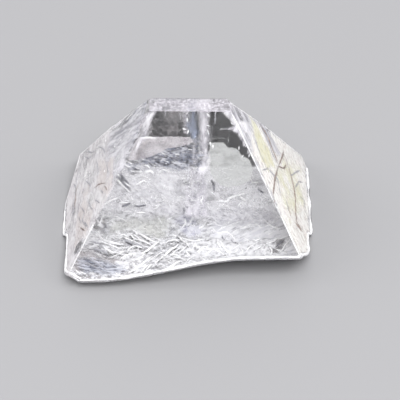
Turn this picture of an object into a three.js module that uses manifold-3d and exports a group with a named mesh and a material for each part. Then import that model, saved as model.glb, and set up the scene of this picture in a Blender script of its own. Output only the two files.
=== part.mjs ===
// Apophyllite crystal: one clear pyramid of the tetragonal mineral, broken off the rock it grew on.
//
// Its sides are the four bipyramid faces {101}, cut short on top by the narrow basal facet {001}. A
// vertical prism face {110} and small breaks trim the corners. The foot is one fracture surface: its
// rear two thirds rest on flat basal cleavage lands at z = 0, and its front third stepped up when the
// crystal broke away, more on the right than on the left.
//
// Millimetres, +Z up, the large front face towards -Y, origin at the middle of the foot.

import * as THREE from "three";
import { ImprovedNoise } from "three/addons/math/ImprovedNoise.js";
import { mergeVertices } from "three/addons/utils/BufferGeometryUtils.js";
import Module from "manifold-3d";

// ---- crystal faces -----------------------------------------------------------------------------
const faceAngle = 61.0; // degrees between the basal facet and each bipyramid face
const facetHeight = 13.3; // foot to basal facet
const facetWidth = 6.6; // basal facet, along X
const facetDepth = 1.55; // basal facet, along Y
const leanRight = 1.2; // degrees that the c axis leans towards +X
const leanFront = 0.8; // degrees that the c axis leans towards -Y
const prismFaces = [
  { azimuth: 45, distance: 12.25 }, // rear right, degrees from +X and distance from the c axis
  { azimuth: 135, distance: 12.55 }, // rear left
];

// Breaks that trim the corners: the way each one faces, and a point that it passes through.
const cornerBreaks = [
  { facing: [-0.965, 0.18, 0.191], through: [-10.55, 3.45, 0] }, // rear left, steep
  { facing: [-0.5, -0.72, -0.48], through: [-10.0, -7.0, 0.72] }, // front left, under the corner
  { facing: [-0.82, -0.55, -0.15], through: [-10.45, -6.45, 0.8] }, // front left, beside the corner
  { facing: [0.78, -0.56, -0.28], through: [9.55, -6.1, 1.3] }, // front right, under the corner
];

// ---- fracture surface of the foot --------------------------------------------------------------
const stepLine = { left: -1.45, right: -2.0 }; // y of the step between the lands and the raised front
const stepWave = { length: 2.7, reach: 1.0, layer: 7.1 }; // how the step wanders from that line
const stepRun = 0.45; // the step's width
const frontLift = 0.75; // height of the raised front
const frontRelief = 0.35; // how much of the hollows carries on under the raised front
const wedgeLift = 1.5; // further rise of the front edge, towards the right
const wedgeFrom = { x: -7.6, y: -4.4 }; // where that rise starts
const wedgeTo = { x: 4.9, y: -6.7 }; // and where it is complete
const broadHollows = { size: 5.6, depth: 2.5, threshold: 0.04, layer: 2.3 }; // shell-shaped breaks
const fineHollows = { size: 1.9, depth: 0.9, threshold: 0.04, layer: 5.9 }; // splinters inside them
const land = { rise: 0.3, share: 0.45 }; // cleavage lands: one every rise, and how much of it is flat
const calmSide = { from: 8.3, to: 9.7 }; // |x| over which the hollows run out to the side edges
const calmFront = { from: -4.9, to: -7.2 }; // y over which they run out to the front edge
const fractureCell = 0.4; // size of the facets that the surface is made of
const footHalfWidth = 10.7;

// ---- stock that the crystal is cut from --------------------------------------------------------
const stock = { width: 30, bottom: -2, top: 15.3 };
const cutter = 60; // side of the blocks that cut it
const fractureSpread = 26; // width of the block that carries the fracture surface

const wasm = await Module();
wasm.setup();

// ---- solids ------------------------------------------------------------------------------------
function toSolid(geometry) {
  const shape = geometry.clone();
  shape.deleteAttribute("normal");
  shape.deleteAttribute("uv");
  const merged = mergeVertices(shape, 1e-4);
  return new wasm.Manifold(
    new wasm.Mesh({
      numProp: 3,
      vertProperties: new Float32Array(merged.attributes.position.array),
      triVerts: new Uint32Array(merged.index.array),
    }),
  );
}

function toGeometry(solid) {
  const mesh = solid.getMesh();
  const geometry = new THREE.BufferGeometry();
  geometry.setAttribute("position", new THREE.BufferAttribute(mesh.vertProperties, 3));
  geometry.setIndex(new THREE.BufferAttribute(mesh.triVerts, 1));
  return geometry;
}

// A block that holds everything beyond the plane through a point.
function beyondPlane({ facing, through }) {
  const up = new THREE.Vector3(0, 0, 1);
  const block = new THREE.BoxGeometry(cutter, cutter, cutter);
  block.translate(0, 0, cutter / 2);
  block.applyQuaternion(new THREE.Quaternion().setFromUnitVectors(up, facing.clone().normalize()));
  block.translate(through.x, through.y, through.z);
  return toSolid(block);
}

// ---- planes ------------------------------------------------------------------------------------
const radians = THREE.MathUtils.degToRad;
const lean = new THREE.Matrix4().makeRotationFromEuler(
  new THREE.Euler(radians(leanFront), radians(leanRight), 0),
);

// A crystal face, from its azimuth, its slope off the basal plane and a point on the upright crystal.
function growthPlane(azimuth, slope, distance, height) {
  const outward = new THREE.Vector3(Math.cos(azimuth), Math.sin(azimuth), 0);
  const through = outward.clone().multiplyScalar(distance).setZ(height);
  const facing = outward.multiplyScalar(Math.sin(slope)).setZ(Math.cos(slope));
  return { facing: facing.transformDirection(lean), through: through.applyMatrix4(lean) };
}

function growthPlanes() {
  const basal = growthPlane(0, 0, 0, facetHeight);
  const bipyramid = [facetWidth, facetDepth, facetWidth, facetDepth].map((side, k) =>
    growthPlane((k * Math.PI) / 2, radians(faceAngle), side / 2, facetHeight),
  );
  const prism = prismFaces.map(({ azimuth, distance }) =>
    growthPlane(radians(azimuth), Math.PI / 2, distance, 0),
  );
  return [basal, ...bipyramid, ...prism];
}

function breakPlanes() {
  return cornerBreaks.map(({ facing, through }) => ({
    facing: new THREE.Vector3(...facing),
    through: new THREE.Vector3(...through),
  }));
}

// ---- fracture surface --------------------------------------------------------------------------
const noise = new ImprovedNoise();

// 0 at one value, 1 at the other, and eased between them.
function ramp(value, from, to) {
  const part = THREE.MathUtils.clamp((value - from) / (to - from), 0, 1);
  return part * part * (3 - 2 * part);
}

function hollow(x, y, { size, depth, threshold, layer }) {
  return depth * Math.max(0, noise.noise(x / size, y / size, layer) - threshold);
}

// A height drawn down to the land below it, with a steep riser to the next.
function terraced(height) {
  const level = Math.floor(height / land.rise);
  return land.rise * (level + ramp(height / land.rise - level, land.share, 1));
}

// Height of the fracture surface over the ground at a place.
function fractureHeight(x, y) {
  const across = (x / footHalfWidth + 1) / 2;
  const wander = stepWave.reach * noise.noise(x / stepWave.length, 0, stepWave.layer);
  const step = THREE.MathUtils.lerp(stepLine.left, stepLine.right, across) + wander;
  const front = ramp(y, step + stepRun / 2, step - stepRun / 2);
  const calmX = 1 - ramp(Math.abs(x), calmSide.from, calmSide.to);
  const calmY = 1 - ramp(y, calmFront.from, calmFront.to);
  const hollows = hollow(x, y, broadHollows) + hollow(x, y, fineHollows);
  const relief = terraced(hollows * calmX * calmY);
  const wedge = wedgeLift * ramp(x, wedgeFrom.x, wedgeTo.x) * ramp(y, wedgeFrom.y, wedgeTo.y);
  return THREE.MathUtils.lerp(relief, frontLift + wedge + frontRelief * relief, front);
}

// Everything under the fracture surface, as a block with that surface on top.
function belowFracture() {
  const cells = Math.round(fractureSpread / fractureCell);
  const block = new THREE.BoxGeometry(fractureSpread, fractureSpread, cutter, cells, cells, 1);
  const point = block.attributes.position;
  for (let i = 0; i < point.count; i += 1) {
    const isTop = point.getZ(i) > 0;
    point.setZ(i, isTop ? fractureHeight(point.getX(i), point.getY(i)) : -cutter);
  }
  return toSolid(block);
}

// ---- crystal -----------------------------------------------------------------------------------
function crystalGeometry() {
  const block = new THREE.BoxGeometry(stock.width, stock.width, stock.top - stock.bottom);
  block.translate(0, 0, (stock.top + stock.bottom) / 2);
  const faceted = [...growthPlanes(), ...breakPlanes()].reduce(
    (solid, plane) => solid.subtract(beyondPlane(plane)),
    toSolid(block),
  );
  return toGeometry(faceted.subtract(belowFracture()));
}

const clearApophyllite = new THREE.MeshStandardMaterial({
  color: 0xe9ecec,
  roughness: 0.12,
  metalness: 0,
  transparent: true,
  opacity: 0.35,
  flatShading: true,
});

const crystal = new THREE.Mesh(crystalGeometry(), clearApophyllite);
crystal.name = "crystal";
crystal.geometry.computeBoundingBox();
const middle = crystal.geometry.boundingBox.getCenter(new THREE.Vector3());
crystal.position.set(-middle.x, -middle.y, 0);

const specimen = new THREE.Group();
specimen.add(crystal);

export default specimen;
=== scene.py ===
import math
from math import radians

import bmesh
import bpy
import numpy as np
from mathutils import Matrix, Vector, noise
from mathutils.bvhtree import BVHTree
from mathutils.geometry import intersect_point_line


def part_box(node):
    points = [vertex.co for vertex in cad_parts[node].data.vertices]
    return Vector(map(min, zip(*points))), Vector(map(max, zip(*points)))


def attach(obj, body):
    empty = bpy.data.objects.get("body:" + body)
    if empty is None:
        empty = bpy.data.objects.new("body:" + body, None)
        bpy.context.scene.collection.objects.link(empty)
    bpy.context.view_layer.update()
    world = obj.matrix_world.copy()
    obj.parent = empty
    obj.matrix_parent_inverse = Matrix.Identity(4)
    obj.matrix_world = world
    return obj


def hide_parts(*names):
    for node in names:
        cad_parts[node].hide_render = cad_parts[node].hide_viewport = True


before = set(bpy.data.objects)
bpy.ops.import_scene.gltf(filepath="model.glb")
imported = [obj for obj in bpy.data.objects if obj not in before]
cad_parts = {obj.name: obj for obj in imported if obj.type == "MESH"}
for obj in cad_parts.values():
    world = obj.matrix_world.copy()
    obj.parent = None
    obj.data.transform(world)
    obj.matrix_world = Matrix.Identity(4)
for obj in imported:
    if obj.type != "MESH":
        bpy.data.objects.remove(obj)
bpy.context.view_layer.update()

mm = 0.001
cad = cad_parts["crystal"]
low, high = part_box("crystal")


def ramp(value, start, end):
    part = min(max((value - start) / (end - start), 0.0), 1.0)
    return part * part * (3 - 2 * part)


def plainMesh(name, bm):
    mesh = bpy.data.meshes.new(name)
    bm.to_mesh(mesh)
    bm.free()
    return mesh


def addObject(name, mesh, material=None):
    if isinstance(mesh, bmesh.types.BMesh):
        mesh = plainMesh(name, mesh)
    piece = bpy.data.objects.new(name, mesh)
    bpy.context.scene.collection.objects.link(piece)
    if material:
        mesh.materials.append(material)
    return piece


def seal(piece):
    # what is sealed in the crystal goes where the crystal goes
    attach(piece, "root")
    return piece


# the camera

camera = {
    "target": (1.086, 2.656, 0.0),  # mm, the point on the ground that the view is centred on
    "distance": 147.0,  # mm
    "elevation": 42.7,  # degrees
    "roll": 0.5,  # degrees
    "lens": 152.0,  # mm, on a 36 mm wide sensor
}


def addCamera(values):
    data = bpy.data.cameras.new("camera")
    data.lens = values["lens"]
    data.sensor_width = 36
    data.clip_start = 5 * mm
    data.clip_end = 100
    holder = bpy.data.objects.new("camera", data)
    bpy.context.scene.collection.objects.link(holder)
    elevation, roll = radians(values["elevation"]), radians(values["roll"])
    forward = Vector((0, math.cos(elevation), -math.sin(elevation)))
    down = Vector((0, -math.sin(elevation), -math.cos(elevation)))
    right = Vector((1, 0, 0)) * math.cos(roll) + down * math.sin(roll)
    up = forward.cross(right) * -1
    turn = Matrix((right, up, -forward)).transposed()
    place = Vector(values["target"]) * mm - forward * values["distance"] * mm
    holder.matrix_world = Matrix.Translation(place) @ turn.to_4x4()
    bpy.context.scene.camera = holder


addCamera(camera)
print("camera placed")


# the flat faces that the whole crystal lies behind: growth faces and corner breaks

faceSigns = {  # how a growth face is told from the broken foot
    "lowest": -0.9,  # a facet that points further down belongs to the foot
    "facet": 0.01,  # square mm, smaller facets are passed over
    "face": 0.1,  # square mm, the least that the facets of one face come to
    "sameWay": 0.9998,  # cosine between two facets of one face
    "off": 0.01,  # mm that a point may stand off its face
    "cutSameWay": 0.999,  # the same two for the finer crystal that is cut to these faces
    "cutOff": 0.002,
    "down": -0.05,  # a facet that points further down is one to measure the foot on
}
wear = {
    "ridge": 0.07,  # mm, how far the ridges are worn round
    "corners": [  # which way a worn corner faces, and how deep the wear goes, in mm
        ((-0.62, 0.50, 0.60), 0.26),
        ((0.62, 0.46, 0.63), 0.24),
        ((-0.25, 0.62, 0.74), 0.10),
        ((0.28, 0.60, 0.74), 0.12),
        ((0.72, -0.62, -0.30), 0.12),
    ],
}


def supportingPlanes(bm, values):
    planes = []
    for face in bm.faces:
        normal, middle, area = face.normal, face.calc_center_median(), face.calc_area()
        if normal.z < values["lowest"] or area < values["facet"] * mm * mm:
            continue
        for known in planes:
            gap = (middle - known["point"]).dot(known["normal"])
            if known["normal"].dot(normal) > values["sameWay"] and abs(gap) < values["off"] * mm:
                known["area"] += area
                break
        else:
            planes.append({"normal": normal.copy(), "point": middle.copy(), "area": area})
    corners = [vert.co for vert in bm.verts]
    return [
        plane for plane in planes
        if plane["area"] > values["face"] * mm * mm
        and max((co - plane["point"]).dot(plane["normal"]) for co in corners) < values["off"] * mm
    ]


def wornPlane(bm, facing, depth):
    normal = Vector(facing).normalized()
    corner = max((vert.co for vert in bm.verts), key=normal.dot)
    return {"normal": normal, "point": corner - normal * depth * mm}


def facingMost(direction):
    return max(growthPlanes, key=lambda plane: plane["normal"].dot(Vector(direction)))


solid = bmesh.new()
solid.from_mesh(cad.data)
bmesh.ops.remove_doubles(solid, verts=solid.verts, dist=0.001 * mm)
solid.normal_update()
growthPlanes = supportingPlanes(solid, faceSigns)
allPlanes = growthPlanes + [wornPlane(solid, facing, depth) for facing, depth in wear["corners"]]
footFaces = [face for face in solid.faces if face.normal.z < faceSigns["down"]]
footTree = BVHTree.FromPolygons(
    [vert.co.copy() for vert in solid.verts], [[vert.index for vert in face.verts] for face in footFaces],
)
solid.free()
frontFace = facingMost((0, -0.88, 0.47))
backFace = facingMost((0, 0.88, 0.47))
leftFace = facingMost((-0.88, 0, 0.47))
rightFace = facingMost((0.88, 0, 0.47))
tipFace = facingMost((0, 0, 1))
print("growth faces found:", len(growthPlanes))


# the broken foot: the solid's own fracture surface, smoothed, with finer breaks in it

foot = {
    "cell": 0.10,  # mm, size of the facets
    "margin": 0.5,  # mm that the surface runs on past the crystal before it is cut
    "smoothing": 7,  # passes over the solid's coarse facets
    "land": 0.004,  # mm, lower down than this the crystal stands on it
    "hollow": 0.6,  # mm, lower down than this it is a hollow between the lands
    "hollowDepth": 0.55,  # share of the hollows that is kept
    "splinter": 0.035,  # mm, height of the splinters
    "splinterGrain": 1.3,  # how many splinters in a mm
    "splinterLength": 0.6,  # a lower number draws them out further
    "splinterFrom": 0.7,  # a higher number leaves only the tallest
    "splinterPatch": (0.22, 0.3),  # how many patches of them in a mm, across and in depth
    "patchEdge": (-0.2, 0.25),  # noise between which a patch comes up
    "landSplinter": 0.25,  # share of their height that they have on the lands
    "fanHeight": 0.05,  # mm, of the ridges that fan out over the front left
    "fanStart": (-2.5, -2.8),  # mm, where they meet
    "fanSides": ((2.3, 2.7), (4.2, 4.5)),  # radians, where the fan comes up and where it dies out
    "fanRoot": (0.4, 1.2),  # mm from its start, where it comes up
    "fanCount": 34,
    "fanReach": 6.5,  # mm
    "fanEnd": 0.7,  # share of the reach from which they die out
    "fanWave": 0.12,  # radians that they wander
    "rearCalm": 3.0,  # mm, y round which the foot turns smooth
}


def footHeights(values):
    cell, margin = values["cell"], values["margin"]
    xs = np.arange(low.x / mm - margin, high.x / mm + margin + cell, cell)
    ys = np.arange(low.y / mm - margin, high.y / mm + margin + cell, cell)
    heights = np.array([[solidFootAt(x, y) for x in xs] for y in ys])
    lands = heights < values["land"]
    heights = np.where(heights < values["hollow"], heights * values["hollowDepth"], heights)
    for _ in range(values["smoothing"]):
        padded = np.pad(heights, 1, mode="edge")
        around = sum(padded[a:a + len(ys), b:b + len(xs)] for a in range(3) for b in range(3)) / 9
        heights = np.where(lands, heights, around)
    gridX, gridY = np.meshgrid(xs, ys)
    relief = np.vectorize(lambda x, y: splinterAt(values, x, y) + fanAt(values, x, y))
    fine = relief(gridX, gridY)
    return xs, ys, heights + np.where(lands, values["landSplinter"] * fine, fine)


def solidFootAt(x, y):
    # past the edge of the solid the height is that of the edge
    for pull in (1, 0.985, 0.97, 0.95, 0.92, 0.88, 0.8):
        hit = footTree.ray_cast(Vector((x * pull, y * pull, -1)) * mm, Vector((0, 0, 1)))[0]
        if hit is not None:
            return max(hit.z / mm, 0)
    return 0.0


def splinterAt(values, x, y):
    # ridges drawn out sideways, in patches, and few of them at the rear
    grain, calm = values["splinterGrain"], values["rearCalm"]
    across, deep = values["splinterPatch"]
    patch = ramp(noise.noise(Vector((x * across, y * deep, 8.2))), *values["patchEdge"])
    patch *= 1 - 0.9 * ramp(y, calm - 1, calm + 1)
    place = Vector((x * grain * values["splinterLength"], y * grain, 3.1))
    ridge = noise.ridged_multi_fractal(place, 0.9, 2.2, 3, 1.0, 2.0)
    return values["splinter"] * max(0.0, ridge - values["splinterFrom"]) * patch


def fanAt(values, x, y):
    (startX, startY), (comingUp, dyingOut) = values["fanStart"], values["fanSides"]
    reach = math.hypot(x - startX, y - startY)
    turn = math.atan2(y - startY, x - startX) % (2 * math.pi)
    inFan = ramp(turn, *comingUp) * (1 - ramp(turn, *dyingOut))
    inFan *= ramp(reach, *values["fanRoot"])
    inFan *= 1 - ramp(reach, values["fanEnd"] * values["fanReach"], values["fanReach"])
    if inFan < 0.01:
        return 0.0
    wave = noise.noise(Vector((x * 0.5, y * 0.5, 1.7))) * values["fanWave"]
    count = values["fanCount"] / (2 * math.pi)
    ridge = noise.noise(Vector(((turn + wave) * count, reach * 0.35, 6.0)))
    return values["fanHeight"] * inFan * (0.5 + ridge)


footXs, footYs, footZs = footHeights(foot)


def footAt(x, y):
    i = min(max(int(round((x - footXs[0]) / foot["cell"])), 0), len(footXs) - 1)
    j = min(max(int(round((y - footYs[0]) / foot["cell"])), 0), len(footYs) - 1)
    return float(footZs[j, i])


def onFoot(x, y, lift=0.12):
    return Vector((x, y, footAt(x, y) + lift))


def joinRows(bm, rows):
    for one, following in zip(rows, rows[1:]):
        for k in range(len(one) - 1):
            bm.faces.new((one[k], following[k], following[k + 1], one[k + 1]))
    return rows


def footSheet(bm, lift=0.0, step=1):
    # every step-th point of the foot, lift mm above it
    rows = []
    for y, heights in zip(footYs[::step], footZs[::step]):
        places = zip(footXs[::step], heights[::step])
        rows.append([bm.verts.new(Vector((x, y, z + lift)) * mm) for x, z in places])
    return joinRows(bm, rows)


def cutTo(bm, planes, inset=0.0, fill=True):
    # takes off what lies outside the planes, or less than inset mm inside them
    for plane in planes:
        bmesh.ops.bisect_plane(
            bm, geom=bm.verts[:] + bm.edges[:] + bm.faces[:], dist=1e-9,
            plane_co=plane["point"] - plane["normal"] * inset * mm,
            plane_no=plane["normal"], clear_outer=True,
        )
        rim = [edge for edge in bm.edges if edge.is_boundary]
        if fill and rim:
            bmesh.ops.holes_fill(bm, edges=rim, sides=0)


print("foot broken:", footZs.shape)


# the crystal itself: a block over the foot, cut to its growth faces

shape = {
    "sharp": 40,  # degrees, from which an edge shows as an edge
    "ridgeFrom": 12,  # degrees, from which the edge between two faces is a ridge
    "shortestRidge": 0.5,  # mm
    "ridgeSide": 0.2,  # square mm, the least that the faces beside a ridge have
    "rimInset": 0.18,  # mm that the white wear, with its painted highlight, lies inside the rim
    "rimLift": 0.24,  # mm that it lies above it
    "ridgeInset": 0.13,  # mm that it lies inside a ridge
    "footEnd": 3,  # mm, an end lower than this is at the foot
    "ridgeShort": 0.15,  # mm that the wear and its painted highlight stop short of the foot
    "tipFrom": 12.5,  # mm, from which the ridges round the tip get no wear and no painted highlight
    "tallEnd": 8,  # mm, a ridge that reaches higher is one of the four tall ones
    "frontLeft": 0.3,  # share of the front left one that gets the line of wear and painted highlight, at its lower end
}
outline = {"rim": [], "ridges": []}  # where the white wear and its painted highlight run, filled while the crystal is made


def longRidges(bm):
    return [
        edge for edge in bm.edges
        if len(edge.link_faces) == 2 and edge.calc_length() > shape["shortestRidge"] * mm
        and edge.calc_face_angle(0) > radians(shape["ridgeFrom"])
        and all(face.calc_area() > shape["ridgeSide"] * mm * mm for face in edge.link_faces)
    ]


def onGrowthFace(face):
    middle = face.calc_center_median()
    return any(
        abs((middle - plane["point"]).dot(plane["normal"])) < faceSigns["cutOff"] * mm
        and face.normal.dot(plane["normal"]) > faceSigns["cutSameWay"] for plane in allPlanes
    )


def noteOutline(bm, broken, values):
    lift = Vector((0, 0, values["rimLift"]))
    for edge in bm.edges:
        sides = [face[broken] for face in edge.link_faces]
        if len(sides) == 2 and sides[0] != sides[1]:
            outward = edge.link_faces[sides.index(0.0)].normal
            if outward.y < 0.5:  # the rear rim gets no wear and no painted highlight
                inward = outward * values["rimInset"]
                outline["rim"].append([vert.co / mm - inward + lift for vert in edge.verts])
    for edge in longRidges(bm):
        outward = sum((face.normal for face in edge.link_faces), Vector()).normalized()
        ends = [vert.co / mm - outward * values["ridgeInset"] for vert in edge.verts]
        for end, other in (ends, ends[::-1]):
            end += (other - end).normalized() * (values["ridgeShort"] if end.z < values["footEnd"] else 0)
        if min(end.z for end in ends) > values["tipFrom"]:
            continue
        if outward.x < 0 and outward.y < 0 and max(end.z for end in ends) > values["tallEnd"]:
            upper, lower = sorted(ends, key=lambda end: -end.z)
            ends = [lower + (upper - lower) * values["frontLeft"], lower]
        outline["ridges"].append(ends)


def buildCrystal(values):
    bm = bmesh.new()
    broken = bm.faces.layers.float.new("broken")
    pearly = bm.faces.layers.float.new("pearly")
    rows = footSheet(bm)
    top = high.z + mm
    footCorners = (rows[0][0], rows[0][-1], rows[-1][-1], rows[-1][0])
    corners = [bm.verts.new((vert.co.x, vert.co.y, top)) for vert in footCorners]
    bm.faces.new(rows[0] + [corners[1], corners[0]])
    bm.faces.new([row[-1] for row in rows] + [corners[2], corners[1]])
    bm.faces.new(rows[-1][::-1] + [corners[3], corners[2]])
    bm.faces.new([row[0] for row in rows][::-1] + [corners[0], corners[3]])
    bm.faces.new(corners)
    cutTo(bm, allPlanes)
    bmesh.ops.recalc_face_normals(bm, faces=bm.faces)
    for face in bm.faces:
        face[broken] = 0.0 if onGrowthFace(face) else 1.0
        face[pearly] = 1.0 if face.normal.dot(tipFace["normal"]) > 0.99 else 0.0
    noteOutline(bm, broken, values)
    bmesh.ops.bevel(
        bm, geom=longRidges(bm), offset=wear["ridge"] * mm, offset_type="OFFSET",
        segments=2, profile=0.6, affect="EDGES", clamp_overlap=True,
    )
    bmesh.ops.triangulate(bm, faces=bm.faces, quad_method="BEAUTY", ngon_method="BEAUTY")
    bmesh.ops.recalc_face_normals(bm, faces=bm.faces)
    crystal = addObject("clearCrystal", bm)
    crystal.data.shade_smooth()
    crystal.data.set_sharp_from_angle(angle=radians(values["sharp"]))
    return crystal


crystal = buildCrystal(shape)
print("crystal built:", len(crystal.data.polygons), "faces")


# nodes that the materials share

def newMaterial(name):
    material = bpy.data.materials.new(name)
    material.use_nodes = True
    material.node_tree.nodes.clear()
    return material


def setSocket(tree, socket, value):
    if isinstance(value, bpy.types.NodeSocket):
        tree.links.new(value, socket)
    else:
        socket.default_value = value


def node(tree, kind, settings=None, **inputs):
    made = tree.nodes.new(kind)
    for key, value in (settings or {}).items():
        setattr(made, key, value)
    for key, value in inputs.items():
        setSocket(tree, made.inputs[key.replace("_", " ")], value)
    return made


def maths(tree, operation, a, b=0.0):
    made = tree.nodes.new("ShaderNodeMath")
    made.operation = operation
    setSocket(tree, made.inputs[0], a)
    setSocket(tree, made.inputs[1], b)
    return made.outputs[0]


def plus(tree, a, b):
    return maths(tree, "ADD", a, b)


def minus(tree, a, b):
    return maths(tree, "SUBTRACT", a, b)


def times(tree, a, b):
    return maths(tree, "MULTIPLY", a, b)


def attribute(tree, name):
    return node(tree, "ShaderNodeAttribute", {"attribute_name": name}).outputs["Fac"]


def mapped(tree, value, fromMin, fromMax, toMin=0.0, toMax=1.0):
    made = node(tree, "ShaderNodeMapRange", {"interpolation_type": "SMOOTHSTEP"}, Value=value)
    for key, number in zip(("From Min", "From Max", "To Min", "To Max"), (fromMin, fromMax, toMin, toMax)):
        setSocket(tree, made.inputs[key], number)
    return made.outputs["Result"]


def noiseAt(tree, vector, scale, detail=3.0, roughness=0.5):
    return node(
        tree, "ShaderNodeTexNoise", Vector=vector, Scale=scale, Detail=detail, Roughness=roughness,
    ).outputs["Fac"]


def blendColours(tree, part, first, second):
    made = node(tree, "ShaderNodeMix", {"data_type": "RGBA"})
    setSocket(tree, made.inputs["Factor"], part)
    setSocket(tree, made.inputs[6], first)
    setSocket(tree, made.inputs[7], second)
    return made.outputs[2]


def mixShaders(tree, part, first, second):
    mixer = node(tree, "ShaderNodeMixShader", Fac=part)
    tree.links.new(first.outputs[0], mixer.inputs[1])
    tree.links.new(second.outputs[0], mixer.inputs[2])
    return mixer.outputs[0]


def addSockets(tree, side, kind, names):
    # names alone, or a dictionary of names and defaults
    for name in names:
        socket = tree.interface.new_socket(name=name, in_out=side, socket_type="NodeSocket" + kind)
        if isinstance(names, dict):
            socket.default_value = names[name]


upright, across = (0, 0, 1), (0, 1, 0)  # ways for streaks to run


def inMillimetres(tree, along=upright, stretch=1.0, mirrored=False):
    # object coordinates in mm, drawn out along one direction; mirrored makes left and right alike
    vector = node(tree, "ShaderNodeTexCoord").outputs["Object"]
    if mirrored:
        parts = node(tree, "ShaderNodeSeparateXYZ", Vector=vector)
        joined = node(tree, "ShaderNodeCombineXYZ", Y=parts.outputs["Y"], Z=parts.outputs["Z"])
        tree.links.new(maths(tree, "ABSOLUTE", parts.outputs["X"]), joined.inputs["X"])
        vector = joined.outputs[0]
    turned = node(tree, "ShaderNodeMapping", Vector=vector)
    toUpright = Vector(along).rotation_difference(Vector(upright))
    turned.inputs["Rotation"].default_value = toUpright.to_euler()
    scaled = node(tree, "ShaderNodeMapping", Vector=turned.outputs[0])
    scaled.inputs["Scale"].default_value = (1 / mm, 1 / mm, 1 / mm / stretch)
    return scaled.outputs[0]


def grainGroup():
    # patches and specks: how much of a place shows, and its fine grain
    group = bpy.data.node_groups.new("crystalGrain", "ShaderNodeTree")
    addSockets(group, "INPUT", "Vector", ["Vector"])
    addSockets(group, "INPUT", "Float", ["Cover", "Patch", "Speck", "Contrast", "Softness", "Most"])
    addSockets(group, "OUTPUT", "Float", ["Amount", "Grain"])
    given = group.nodes.new("NodeGroupInput").outputs
    patches = noiseAt(group, given["Vector"], given["Patch"], detail=3.0, roughness=0.55)
    specks = noiseAt(group, given["Vector"], given["Speck"], detail=4.0, roughness=0.6)
    both = minus(group, plus(group, patches, specks), 1.0)
    level = plus(group, given["Cover"], times(group, both, given["Contrast"]))
    half = times(group, given["Softness"], 0.5)
    amount = mapped(group, level, minus(group, 0.5, half), plus(group, 0.5, half), 0.0, given["Most"])
    result = group.nodes.new("NodeGroupOutput")
    group.links.new(amount, result.inputs["Amount"])
    group.links.new(specks, result.inputs["Grain"])
    return group


crystalGrain = grainGroup()


def grained(tree, vector, values, cover):
    made = tree.nodes.new("ShaderNodeGroup")
    made.node_tree = crystalGrain
    setSocket(tree, made.inputs["Vector"], vector)
    setSocket(tree, made.inputs["Cover"], cover)
    for key in ("Patch", "Speck", "Contrast", "Softness", "Most"):
        made.inputs[key].default_value = values[key.lower()]
    return made.outputs


# the clear crystal

clearGlass = {
    "index": 1.535,
    "tint": (0.985, 0.985, 0.99, 1),
    "lightIn": 0.06,  # share of the light that passes a wall on its way from the floor or in from outside
    "lightOut": 0.95,  # and on its way from what is sealed in
    "cloud": 0.6,  # rougher patches in a mm
    "faceRoughness": (0.45, 0.75, 0.01, 0.07),  # cloud from and to, roughness from and to
    "brokenRoughness": (0.35, 0.65, 0.08, 0.26),
    "pearlRoughness": 0.30,
    "absorption": (0.80, 0.82, 0.84, 1),
    "density": 12.0,
    "silk": {"patch": 0.8, "speck": 2.6, "contrast": 1.6, "softness": 0.9, "most": 1.0},
    "silkAlong": (0.45, -0.43, -0.78),  # the way the silky streaks of the side faces run
    "silkStretch": 4.0,
    "silkCover": 0.5,
    "silkRoughness": 0.10,
    "silkDepth": 0.008,  # mm
    "silkBump": 0.5,
}


def crystalMaterial(values):
    material = newMaterial("clearApophyllite")
    tree = material.node_tree
    broken, pearly = attribute(tree, "broken"), attribute(tree, "pearly")
    cloud = noiseAt(tree, inMillimetres(tree), values["cloud"], detail=4.0, roughness=0.6)
    streaks = inMillimetres(tree, values["silkAlong"], values["silkStretch"], mirrored=True)
    silk = grained(tree, streaks, values["silk"], values["silkCover"])
    rough = mapped(tree, cloud, *values["faceRoughness"])
    rough = plus(tree, rough, times(tree, silk["Amount"], values["silkRoughness"]))
    footRough = mapped(tree, cloud, *values["brokenRoughness"])
    rough = plus(tree, rough, times(tree, broken, footRough))
    rough = plus(tree, rough, times(tree, pearly, values["pearlRoughness"]))
    bump = node(
        tree, "ShaderNodeBump", Strength=values["silkBump"], Distance=values["silkDepth"] * mm,
        Height=silk["Grain"],
    )
    glass = node(
        tree, "ShaderNodeBsdfPrincipled", Base_Color=values["tint"], Roughness=rough, IOR=values["index"],
        Transmission_Weight=1.0, Normal=bump.outputs[0],
    )
    inside = node(tree, "ShaderNodeNewGeometry").outputs["Backfacing"]
    share = blendColours(tree, inside, [values["lightIn"]] * 3 + [1], [values["lightOut"]] * 3 + [1])
    lamp = node(tree, "ShaderNodeBsdfTransparent", Color=share)
    path = node(tree, "ShaderNodeLightPath")
    soft = maths(tree, "MAXIMUM", path.outputs["Is Shadow Ray"], path.outputs["Is Diffuse Ray"])
    surface = mixShaders(tree, soft, glass, lamp)
    absorb = node(tree, "ShaderNodeVolumeAbsorption", Color=values["absorption"], Density=values["density"])
    node(tree, "ShaderNodeOutputMaterial", Surface=surface, Volume=absorb.outputs[0])
    return material


crystal.data.materials.append(crystalMaterial(clearGlass))
seal(crystal)
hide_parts("crystal")
print("crystal cleared")


# sheets: white veils, stains and the bruised foot

sheetThickness = 0.015  # mm
clearOfFoot = 0.08  # mm between a sheet's middle and the foot
heartHeight = 3  # mm, the height of the place that every sheet faces away from


def frost(patch, speck, contrast, softness, most, stretch, dark, bright, roughness=0.6, grain=(0.38, 0.62)):
    return {
        "patch": patch, "speck": speck,  # how many in a mm
        "contrast": contrast, "softness": softness,
        "most": most,  # the most of a place that it takes
        "stretch": stretch,  # how far the streaks are drawn out
        "dark": (*dark, 1), "bright": (*bright, 1), "roughness": roughness,
        "grain": grain,  # where the colour goes from dark to bright
    }


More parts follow.
